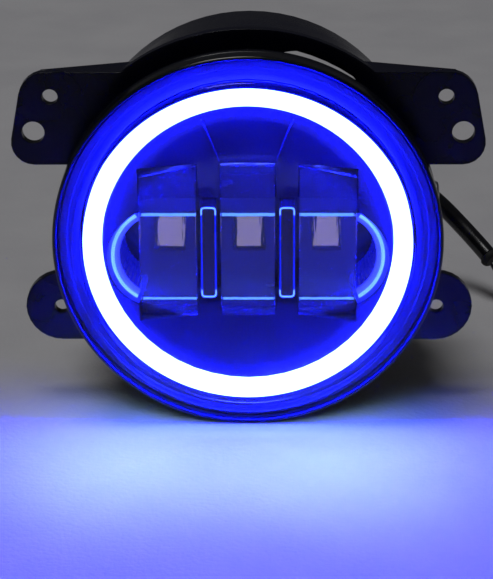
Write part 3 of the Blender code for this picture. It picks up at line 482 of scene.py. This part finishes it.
def makePlug():
    x, d, z = plug["at"]
    start, end = plug["start"], plug["start"] + plug["long"]
    wide, tall = plug["halfWide"], plug["halfTall"]
    body = block((start, -wide, -tall), (end, wide, tall))
    soften(body, plug["corner"], 5, where=runsAlong(0))
    mouth = max(body.faces, key=lambda f: f.calc_center_median().x)
    bmesh.ops.inset_region(body, faces=[mouth], thickness=plug["wall"])
    pushed = bmesh.ops.extrude_face_region(body, geom=[mouth])
    moved = [v for v in pushed["geom"] if isinstance(v, bmesh.types.BMVert)]
    bmesh.ops.translate(body, vec=(-plug["socket"], 0, 0), verts=moved)
    bmesh.ops.delete(body, geom=[mouth], context="FACES")
    bmesh.ops.recalc_face_normals(body, faces=body.faces)
    soften(body, 0.3, 2, sharp=60)
    for band in plug["bands"]:
        ring = roundedBar(start + band, start + band + 1.2, wide + 0.3, tall + 0.12, plug["corner"], 0.25)
        joinInto(body, ring)
    for side in (-1, 1):
        rail = roundedBar(start + 11, end - 1.5, 0.7, 0.4, 0.25, 0.2)
        joinInto(body, moveTo(rail, Matrix.Translation((0, side * wide, -1.5))))
    shift = Matrix.Translation((x, d, z))
    shell = addPiece(moveTo(body, shift), "plugBody", bracket, mouldedNylon, ["plug_body"])

    pins = bmesh.new()
    for across in (-plug["pin"], plug["pin"]):
        pin = roundedBar(start + 12, end - 5, 1.1, 0.4, 0.12, 0.12)
        joinInto(pins, moveTo(pin, Matrix.Translation((0, across, 0))))
    pins = addPiece(moveTo(pins, shift), "plugPins", bracket, zincSteel)

    seal = roundedBar(1.0, 4.0, 6.8, 4.8, 2.0, 0.5)
    for place in (1.7, 2.9):
        joinInto(seal, roundedBar(place, place + 0.6, 7.05, 5.05, 2.1, 0.25))
    seal = addPiece(moveTo(seal, shift), "plugSeal", bracket, orangeVinyl, ["plug_seal"])

    latch = block((10.0, -2.6, tall + 0.3), (26.0, 2.6, tall + 1.5))
    soften(latch, 0.35, 2)
    hook = block((22.5, -2.6, tall + 0.9), (26.0, 2.6, tall + 2.0))
    soften(hook, 0.45, 3)
    joinInto(latch, hook)
    for rib in range(4):
        grip = block((10.6 + rib * 1.3, -2.3, tall + 1.2), (11.2 + rib * 1.3, 2.3, tall + 1.9))
        soften(grip, 0.2, 2)
        joinInto(latch, grip)
    latch = addPiece(moveTo(latch, shift), "plugLatch", bracket, mouldedNylon,
                     ["plug_latch"])
    return [shell, pins, seal, latch]


def makeLead():
    glandPiece = makeGland()
    plugPieces = makePlug()
    points = smoothRoute(lead["sleeve"], lead["step"])
    sleeve = addPiece(leadMesh(points, lead["sleeveRadius"]), "cableSleeve", None, vinylSleeve,
                      ["cable_sleeve"])
    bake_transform(sleeve)

    heading = (Vector(lead["sleeve"][-1]) - Vector(lead["sleeve"][-2])).normalized()
    cuff = [(0, 0.3), (3.0, 0.3), (3.3, 0.6), (3.3, 1.5), (3.0, 2.2), (2.5, 2.6), (0, 2.6)]
    cuff = moveTo(spun(cuff, 40), facing(heading, lead["sleeve"][-1]))
    cuff = addPiece(cuff, "sleeveCuff", bracket, mouldedRubber, ["sleeve_cuff"])

    finishes = {"wireOrange": orangeVinyl, "wireBlack": vinylSleeve}
    for name, (node, length, slotName) in lead["wires"].items():
        points = smoothRoute(lead[name], lead["step"])
        wire = leadMesh(points, lead["wireRadius"])
        wire = addPiece(wire, name, bracket, finishes[name], [node])


makeLead()
print("lead made")

# Rim ring: rounded lip, a parting line round its side
rimProfile = [(53.65, 0.5), (53.8, 0.2), (54.2, 0.0), (54.6, 0.15), (54.9, 0.5), (55.0, 1.0), (55.0, 4.5),
              (54.85, 4.65), (54.85, 4.95), (55.0, 5.1), (55.0, 7.3), (54.8, 7.9), (54.3, 8.2),
              (50.6, 8.2), (50.6, 6.4), (53.65, 6.4)]
addPiece(spun(rimProfile, 180), "rimRing", pod, polishedNylon, ["rim_ring"])

# Cover lens: flat face, rolled shoulder, and a flange that sits in the rim
lensProfile = [(0, -6.0), (46.2, -6.0), (47.6, -5.9), (48.5, -5.55), (49.05, -4.9), (49.25, -4.2),
               (49.6, -0.9), (49.9, -0.2), (50.5, 0.1), (53.1, 0.1), (53.3, 0.3), (53.3, 2.2), (47.5, 2.2),
               (47.3, -2.4), (46.9, -3.3), (46.1, -3.6), (0, -3.6)]
addPiece(spun(lensProfile, 180), "coverLens", pod, hardCoatLens, ["front_lens"])

# Light guide ring behind the lens
guideProfile = [(41.0, -0.4), (41.25, -1.05), (41.9, -1.5), (45.4, -1.5), (46.05, -1.05), (46.3, -0.4),
                (46.3, 2.5), (41.0, 2.5)]
addPiece(spun(guideProfile, 144), "haloGuide", pod, opalGuide, ["halo_guide"])
print("lens, rim and ring made")


# Bezel dish, its opening edges just eased, with two fine mould ribs fanning up from the opening
bezel = {"ease": 0.25, "ribRadius": 0.16,
         "ribs": [((-7.9, 22.6), (-12.6, 37.2)), ((7.9, 22.6), (12.6, 37.2))],
         "dish": [(0, 9.0), (15, 8.4), (27, 5.8), (35.5, 2.2), (39.6, -0.8)]}


def dishDepth(radius):
    for (r0, d0), (r1, d1) in zip(bezel["dish"], bezel["dish"][1:]):
        if radius <= r1:
            return d0 + (d1 - d0) * (radius - r0) / (r1 - r0)
    return bezel["dish"][-1][1]


def makeBezel():
    dish = nodeCopy("bezel")
    soften(dish, bezel["ease"], 2, sharp=40)
    for (x0, z0), (x1, z1) in bezel["ribs"]:
        ends = [Vector((x0, 0, z0)).lerp(Vector((x1, 0, z1)), i / 12) for i in range(13)]
        line = [Vector((p.x, dishDepth(Vector((p.x, p.z)).length), p.z)) for p in ends]
        joinInto(dish, leadMesh(line, bezel["ribRadius"]))
    addPiece(dish, "bezel", pod, pianoBlack, ["bezel"])


makeBezel()

# Optics: thick clear blocks with a barrel-shaped front, the outer two cut down towards their outside
optics = {"low": -23.0, "high": 22.0, "front": 1.0, "edge": 5.0, "back": 11.0, "steps": 28, "ease": 0.45,
          "fall": 3.5, "fallFrom": 14.0,
          "spans": {"opticCentre": ("optic_centre", -7.6, 7.6), "opticLeft": ("optic_left", -30.5, -14.5),
                    "opticRight": ("optic_right", 14.5, 30.5)}}


def makeOptics():
    half = (optics["high"] - optics["low"]) / 2
    middle = (optics["high"] + optics["low"]) / 2
    for name, (node, left, right) in optics["spans"].items():
        bm = bmesh.new()
        zs = [middle + half * cos(pi * i / optics["steps"]) for i in range(optics["steps"] + 1)]
        bulge = optics["edge"] - optics["front"]
        outline = [(optics["front"] + bulge * ((z - middle) / half) ** 2, z) for z in zs]
        outline += [(optics["back"], optics["low"]), (optics["back"], optics["high"])]
        face = bm.faces.new([bm.verts.new((left, d, z)) for d, z in outline])
        swept = bmesh.ops.extrude_face_region(bm, geom=[face])
        moved = [v for v in swept["geom"] if isinstance(v, bmesh.types.BMVert)]
        bmesh.ops.translate(bm, vec=(right - left, 0, 0), verts=moved)
        bmesh.ops.recalc_face_normals(bm, faces=bm.faces)
        soften(bm, optics["ease"], 3, sharp=50)
        inner = min(abs(left), abs(right))
        if name != "opticCentre":
            for v in bm.verts:
                if v.co.z > optics["fallFrom"]:
                    share = (v.co.z - optics["fallFrom"]) / (optics["high"] - optics["fallFrom"])
                    v.co.z -= optics["fall"] * share * max(0, (abs(v.co.x) - inner) / (right - left))
        addPiece(bm, name, pod, opticAcrylic, [node])


makeOptics()

# Divider bars: gloss black, their faces sunk inside a narrow raised border traced by painted glowing lines
# in place of the ring's light
bars = {"x": 11.05, "half": 2.4, "low": -16.6, "high": 11.0, "front": 2.2, "back": 11.0, "corner": 1.1,
        "border": 0.9, "sunk": 0.5, "ease": 0.42, "line": 0.45, "lineRadius": 0.22}


def makeBars():
    for side, label in ((1, "right"), (-1, "left")):
        bm = block((-bars["half"], bars["front"], bars["low"]), (bars["half"], bars["back"], bars["high"]))
        soften(bm, bars["corner"], 4, where=runsAlong(1))
        face = min(bm.faces, key=lambda f: f.calc_center_median().y)
        bmesh.ops.inset_region(bm, faces=[face], thickness=bars["border"])
        bmesh.ops.translate(bm, vec=(0, bars["sunk"], 0), verts=face.verts)
        soften(bm, bars["ease"], 3, sharp=35)
        bm = moveTo(bm, Matrix.Translation((side * bars["x"], 0, 0)))
        # painted glowing lines run round the border, hooked over its corners at the top and bottom
        trim = bars["half"] - bars["line"]
        corner = trim - bars["line"]
        low, high = bars["low"] + bars["line"], bars["high"] - bars["line"]
        for end, z, turn in (("Top", high, 1), ("Bottom", low, -1)):
            line = [Vector((side * bars["x"] + x, bars["front"], z - turn * drop))
                    for x, drop in ((-trim, 2.2), (-trim, 0.7), (-corner, 0.1), (0, 0), (corner, 0.1),
                                    (trim, 0.7), (trim, 2.2))]
            addPiece(leadMesh(smoothRoute(line, 0.3), bars["lineRadius"]), "barTrim" + end + label.title(),
                     pod, paintedGlowTrimBright)
        for edge, mark in ((-1, "A"), (1, "B")):
            line = [Vector((side * bars["x"] + edge * trim, bars["front"], z)) for z in (low + 2, high - 2)]
            addPiece(leadMesh(line, bars["lineRadius"]), "barTrimSide" + label.title() + mark,
                     pod, paintedGlowTrimDim)
        addPiece(bm, "dividerBar" + label.title(), pod, pianoBlack, ["divider_bar_" + label])


makeBars()

# Reflector tray: the smoked oval bucket, a lip behind the optics with painted glowing beads on its inner
# edge, and in each round end a scalloped liner with a painted glowing arc at its mouth
tray = {"lip": [(15.2, 11.9, -5.0), (15.2, 11.5, -5.0), (12.55, 11.5, -6.25), (12.15, 11.9, -6.25)],
        "bead": 12.15, "beadDepth": 11.4, "beadRadius": 0.4, "beadZ": -6.25,
        "arcs": [("trimArc", 13.2, 3.2, 0.5, paintedGlowTrimBright), ("trimBand", 12.3, 4.6, 1.0, paintedGlowTrimSoft)],
        "arcTall": 0.7, "arcZ": -4.3, "arcEnds": 61,
        "middle": 25.0, "z": -5.0, "ends": 66, "scallops": 20, "scallop": 0.35, "wall": 0.2,
        "levels": [(3.4, 15.0, 0), (3.7, 13.9, 0), (6.0, 13.3, 0.4), (8.5, 12.9, 1), (11.2, 12.4, 1),
                   (15.0, 11.9, 1), (19.0, 11.6, 1), (22.7, 11.4, 1)]}


def ovalLine(reach, depth, z):
    line = []
    for side in (1, -1):
        for i in range(25):
            angle = pi * (i / 24 - 0.5 * side)
            line.append(Vector((side * tray["middle"] + reach * cos(angle), depth,
                                z + reach * sin(angle))))
    return line


def makeTray():
    shell = nodeCopy("reflector_tray")
    soften(shell, 0.2, 2, sharp=40)
    addPiece(shell, "reflectorTray", pod, smokedMirror, ["reflector_tray"])
    # the lip is one loop of levels round the oval, closed into a wall
    lip = bmesh.new()
    rows = [[lip.verts.new(p) for p in ovalLine(*level)] for level in tray["lip"]]
    for upper, lower in zip(rows, rows[1:] + rows[:1]):
        for a, b, c, d in zip(upper, upper[1:] + upper[:1], lower[1:] + lower[:1], lower):
            lip.faces.new((a, b, c, d))
    bmesh.ops.recalc_face_normals(lip, faces=lip.faces)
    addPiece(lip, "reflectorLip", pod, smokedMirror)
    for label, z in (("Top", tray["beadZ"] + tray["bead"]), ("Bottom", tray["beadZ"] - tray["bead"])):
        for mark, (node, left, right) in zip("ABC", optics["spans"].values()):
            stops = (left + 0.3, (left + right) / 2, right - 0.3)
            bead = leadMesh([Vector((x, tray["beadDepth"], z)) for x in stops], tray["beadRadius"])
            addPiece(bead, "reflectorBead" + label + mark, pod, paintedGlowTrimBright)
    for name, reach, depth, radius, material in tray["arcs"]:
        for side, label in ((1, "Right"), (-1, "Left")):
            turns = [radians(tray["arcEnds"]) * (i / 20 - 1) for i in range(41)]
            line = [Vector((side * (tray["middle"] + reach * cos(a)), depth,
                            tray["arcZ"] + (reach + tray["arcTall"]) * sin(a))) for a in turns]
            addPiece(leadMesh(line, radius), name + label, pod, material)
    bm = bmesh.new()
    steps = tray["scallops"] * 6
    for side in (1, -1):
        # each level is an arc round the oval's end, deeper levels smaller, dented between the scallops
        rows = []
        for depth, reach, dented in tray["levels"]:
            row = []
            for i in range(steps + 1):
                angle = radians(tray["ends"]) * (2 * i / steps - 1)
                dent = dented * tray["scallop"] * abs(sin(pi * tray["scallops"] * i / steps))
                place = Vector((side * (tray["middle"] + (reach - dent) * cos(angle)), depth,
                                tray["z"] + (reach - dent) * sin(angle)))
                row.append(bm.verts.new(place))
            rows.append([bm.edges.new(pair) for pair in zip(row, row[1:])])
        for upper, lower in zip(rows, rows[1:]):
            bmesh.ops.bridge_loops(bm, edges=upper + lower)
    bmesh.ops.recalc_face_normals(bm, faces=bm.faces)
    bmesh.ops.solidify(bm, geom=bm.faces[:], thickness=tray["wall"])
    addPiece(bm, "reflectorLiner", pod, satinLinerPaintedGlow, smooth=50)


makeTray()
print("dish, optics and reflector made")

# Pieces whose shape comes straight from the frame, with their edges eased
eased = [
    ("mounting_bracket", "mountingBracket", bracket, mouldedNylon, "black_nylon", 0.5),
    ("housing", "lampHousing", pod, powderCoat, "cast_aluminium", 0.35),
    ("heat_sink", "heatSink", pod, powderCoat, "cast_aluminium", 0.45),
]
for node, name, body, material, slotName, width in eased:
    copy = nodeCopy(node)
    soften(copy, width, 2, sharp=40)
    addPiece(copy, name, body, material, [node])

# A fine raised arc marks the pad round each upper ear's hole
pads = {"x": 55.6, "z": 36.8, "reach": 9.3, "front": 18.0, "ridge": 0.16, "from": 95, "to": 168}


def makePads():
    for side, label in ((1, "Right"), (-1, "Left")):
        arc = []
        for i in range(25):
            angle = radians(pads["from"] + (pads["to"] - pads["from"]) * i / 24)
            arc.append(Vector((side * (pads["x"] + pads["reach"] * cos(angle)), pads["front"],
                               pads["z"] + pads["reach"] * sin(angle))))
        addPiece(leadMesh(arc, pads["ridge"]), "padArc" + label, bracket, mouldedNylon)


makePads()


def outward(side, depth=44.0):
    # stands a turned piece on the tilt axis, pointing out to one side
    return facing((side, 0, 0), (0, depth, 0))


# Rings, bushes, washers and the aiming nut, turned finer than the frame's
turnedPieces = [
    ("lens_seal", "lensSeal", [(50.9, 2.5), (53.1, 2.5), (53.1, 3.9), (50.9, 3.9)],
     mouldedRubber, "rubber"),
    ("rear_gasket", "rearGasket", [(38.5, 36.3), (43.2, 36.3), (43.2, 37.0), (38.5, 37.0)],
     mouldedRubber, "rubber"),
]
for node, name, profile, material, slotName in turnedPieces:
    ring = spun(profile, 120)
    soften(ring, 0.2, 2)
    addPiece(ring, name, pod, material, [node])

pivots = {
    "bush": [(2.25, 49.9), (2.9, 49.9), (2.9, 53.5), (4.8, 53.5), (4.8, 54.2), (2.25, 54.2)],
    "washer": [(2.3, 48.5), (5.5, 48.5), (5.5, 49.3), (2.3, 49.3)],
    "screw": [(0, 41.8), (1.7, 41.8), (2.0, 42.3), (2.0, 54.5), (3.5, 54.5), (3.9, 54.8), (3.9, 55.6),
              (3.5, 56.2), (2.6, 56.5), (1.55, 56.5), (1.55, 55.3), (0, 55.3)],
}


def hexPocket(bm, radius, inner, outer):
    # squares a turned recess up to a hexagon, between two depths
    for v in bm.verts:
        reach = Vector((v.co.x, v.co.z)).length
        if abs(reach - radius) < 0.01 and inner - 0.01 < v.co.y < outer + 0.01:
            angle = Vector((1, 0)).angle_signed(Vector((v.co.x, v.co.z)), 0)
            share = (angle % (pi / 3)) - pi / 6
            scale = cos(pi / 6) / cos(share)
            v.co.x *= scale
            v.co.z *= scale


for side, label in ((1, "Right"), (-1, "Left")):
    node = label.lower()
    for kind, body, material, slotName, width in (("bush", bracket, naturalNylon, "white_nylon", 0.15),
                                                  ("washer", pod, naturalNylon, "white_nylon", 0.15),
                                                  ("screw", pod, zincSteel, "zinc_steel", 0.0)):
        part = spun(pivots[kind], 48)
        if kind == "screw":
            hexPocket(part, 1.55, 55.3, 56.5)
        if width:
            soften(part, width, 2)
        addPiece(moveTo(part, outward(side)), "pivot" + kind.title() + label, body, material,
                 ["pivot_" + kind + "_" + node])

# Aiming screw: threaded shank, washer clip and hexagon head, in a nylon nut
aiming = {"z": -47.5, "shank": 2.0, "front": 36.0, "head": 60.3, "thick": 3.0, "across": 3.9, "pitch": 1.0,
          "threadEnd": 54.0,
          "nut": [(2.45, 38.2), (3.3, 38.2), (3.3, 48.3), (4.8, 48.3), (4.8, 49.4), (2.45, 49.4)],
          "clip": [(2.2, 55.0), (4.2, 55.0), (4.2, 55.7), (2.2, 55.7)]}


def makeAiming():
    down = Matrix.Translation((0, 0, aiming["z"]))
    root = aiming["shank"] - 0.32
    shank = spun([(0, aiming["front"]), (root - 0.3, aiming["front"]), (root, aiming["front"] + 0.5),
                  (root, aiming["threadEnd"]), (aiming["shank"], aiming["threadEnd"] + 0.4),
                  (aiming["shank"], aiming["head"] + 0.2), (0, aiming["head"] + 0.2)], 40)
    ridge = bmesh.new()
    corners = [(root - 0.1, -0.42), (aiming["shank"], -0.08), (aiming["shank"], 0.08), (root - 0.1, 0.42)]
    tooth = ridge.faces.new([ridge.verts.new((r, aiming["front"] + 1.2 + d, 0)) for r, d in corners])
    turns = int(aiming["threadEnd"] - aiming["front"] - 1.8)
    bmesh.ops.spin(ridge, geom=[tooth, *tooth.verts, *tooth.edges], cent=(0, 0, 0), axis=(0, 1, 0),
                   angle=2 * pi * turns, steps=24 * turns, dvec=(0, aiming["pitch"] / 24, 0))
    bmesh.ops.recalc_face_normals(ridge, faces=ridge.faces)
    joinInto(shank, ridge)
    start, end = aiming["head"], aiming["head"] + aiming["thick"]
    head = spun([(0, start), (aiming["across"] * 0.92, start), (aiming["across"], start + 0.2),
                 (aiming["across"], end - 0.5), (aiming["across"] * 0.84, end), (0, end)], 6)
    joinInto(shank, head)
    addPiece(moveTo(shank, down), "aimingScrew", adjuster, zincSteel, ["adjuster_screw"])
    clip = spun(aiming["clip"], 48)
    soften(clip, 0.15, 2)
    addPiece(moveTo(clip, down), "aimingClip", adjuster, zincSteel, ["adjuster_clip"])
    nut = spun(aiming["nut"], 48)
    soften(nut, 0.25, 2)
    addPiece(moveTo(nut, down), "aimingNut", pod, naturalNylon, ["adjuster_nut"])


makeAiming()

# Small screws: pan heads with a hexagon recess; back is 1 where the head faces the rear
screws = {
    "heat_sink_screw_": {"at": [(17.2, 30.0), (-17.2, 30.0), (-17.2, -30.0), (17.2, -30.0)],
                         "tip": 34.2, "seat": 42.3, "shank": 1.4, "head": 2.6, "tall": 2.0, "back": 1},
    "led_board_screw_": {"at": [(20.0, 12.9), (-20.0, 12.9), (-20.0, -20.9), (20.0, -20.9)],
                         "tip": 31.4, "seat": 24.9, "shank": 1.0, "head": 1.9, "tall": 1.4, "back": -1},
    "driver_screw_": {"at": [(-17.5, -29.0), (17.5, -29.0)],
                      "tip": 32.6, "seat": 28.7, "shank": 1.0, "head": 1.9, "tall": 1.4, "back": -1},
}


def makeScrew(screw):
    tip, seat, shank, head = screw["tip"], screw["seat"], screw["shank"], screw["head"]
    tall, back = screw["tall"], screw["back"]
    top = seat + back * tall
    floorDepth = top - back * tall * 0.6
    pocket = head * 0.5
    profile = [(0, tip), (shank - 0.3, tip), (shank, tip + back * 0.4), (shank, seat), (head - 0.2, seat),
               (head, seat + back * 0.2), (head, top - back * 0.7), (head - 0.25, top - back * 0.25),
               (head - 0.8, top), (pocket, top), (pocket, floorDepth), (0, floorDepth)]
    bm = spun(profile, 36)
    hexPocket(bm, pocket, *sorted((top, floorDepth)))
    return bm


for stem, screw in screws.items():
    for number, (x, z) in enumerate(screw["at"], 1):
        name = "".join(word.title() for word in stem.split("_"))
        name = name[0].lower() + name[1:] + str(number)
        addPiece(moveTo(makeScrew(screw), Matrix.Translation((x, 0, z))), name, pod, zincSteel,
                 [stem + str(number)])

# Breather: a ribbed rubber cap on the rear of the heat sink
vent = {"x": -12.9, "flutes": 12,
        "profile": [(0, 44.0), (1.7, 44.0), (1.7, 48.3), (5.0, 48.3), (5.2, 48.5), (5.2, 50.4), (4.9, 51.0),
                    (4.3, 51.4), (2.2, 51.4), (2.0, 50.9), (0, 50.9)]}


def makeVent():
    cap = spun(vent["profile"], vent["flutes"] * 6)
    for v in cap.verts:
        flat = Vector((v.co.x, v.co.z))
        if flat.length > 4.6:
            angle = Vector((1, 0)).angle_signed(flat, 0)
            dent = 1 - 0.045 * max(0, cos(angle * vent["flutes"]))
            v.co.x *= dent
            v.co.z *= dent
    addPiece(moveTo(cap, Matrix.Translation((vent["x"], 0, 0))), "ventCap", pod, mouldedRubber,
             ["vent_plug"])


makeVent()

# Electronics: boards and the three emitters
for node, name in (("halo_board", "haloBoard"), ("led_board", "ledBoard"), ("driver_board", "driverBoard")):
    copy = nodeCopy(node)
    soften(copy, 0.12, 1, sharp=60)
    addPiece(copy, name, pod, boardResist, [node])

for label in ("left", "centre", "right"):
    node = "led_chip_" + label
    chip = nodeCopy(node)
    soften(chip, 0.2, 2, sharp=60)
    addPiece(chip, "ledChip" + label.title(), pod, phosphor, [node])
print("bracket, housing, fixings and electronics made")

# Floor: pale matt card laid flat, with a faint fibre texture
matteCard = solidFinish({
    "name": "matteCard", "colours": ("#c9c8cc", "#d2d1d4"), "patch": 40, "roughness": (0.75, 0.9),
    "grain": 1.6, "depth": 0.25})


def makeFloor():
    bm = bmesh.new()
    bmesh.ops.create_grid(bm, x_segments=1, y_segments=1, size=3.0)
    mesh = bpy.data.meshes.new("floor")
    bm.to_mesh(mesh)
    bm.free()
    mesh.materials.append(matteCard)
    floor = bpy.data.objects.new("floor", mesh)
    bpy.context.collection.objects.link(floor)


makeFloor()

# Light: one soft lamp overhead, a dim even surround, and hidden spots for the pool that the lit ring
# throws on the floor in front: a pale core inside a wide blue spread
studio = {"size": 1.1, "power": 25.0, "at": (-0.5, -0.15, 3.0), "surround": "#9a9a9e", "level": 0.1}
pool = {"ahead": 0.022, "apart": 0.030, "shift": -0.004, "radius": 0.012, "cone": 128,
        "core": {"height": 0.036, "power": 0.062, "colour": (0.42, 0.74, 1.0)},
        "spread": {"height": 0.052, "power": 0.10, "colour": (0.012, 0.006, 1.0)}}


def makeLight():
    data = bpy.data.lights.new("softLight", "AREA")
    data.size, data.energy = studio["size"], studio["power"]
    light = bpy.data.objects.new("softLight", data)
    light.location = studio["at"]
    aim = lampOrigin - Vector(studio["at"])
    light.rotation_euler = aim.to_track_quat("-Z", "Y").to_euler()
    bpy.context.collection.objects.link(light)
    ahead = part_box("front_lens")[0][1] - pool["ahead"]
    for part in (pool["core"], pool["spread"]):
        data = bpy.data.lights.new("poolLight", "SPOT")
        data.energy, data.color, data.shadow_soft_size = part["power"], part["colour"], pool["radius"]
        data.spot_size, data.spot_blend = radians(pool["cone"]), 0.5
        for side in (-1, 1):
            light = bpy.data.objects.new("poolLight", data)
            light.location = (side * pool["apart"] + pool["shift"], ahead, part["height"])
            light.visible_camera = light.visible_glossy = light.visible_transmission = False
            bpy.context.collection.objects.link(light)
    world = bpy.data.worlds.new("surround")
    world.use_nodes = True
    background = world.node_tree.nodes["Background"]
    background.inputs["Color"].default_value = paint(studio["surround"])
    background.inputs["Strength"].default_value = studio["level"]
    bpy.context.scene.world = world
    bpy.context.scene.view_settings.view_transform = "Standard"


makeLight()
print("stage and light made")
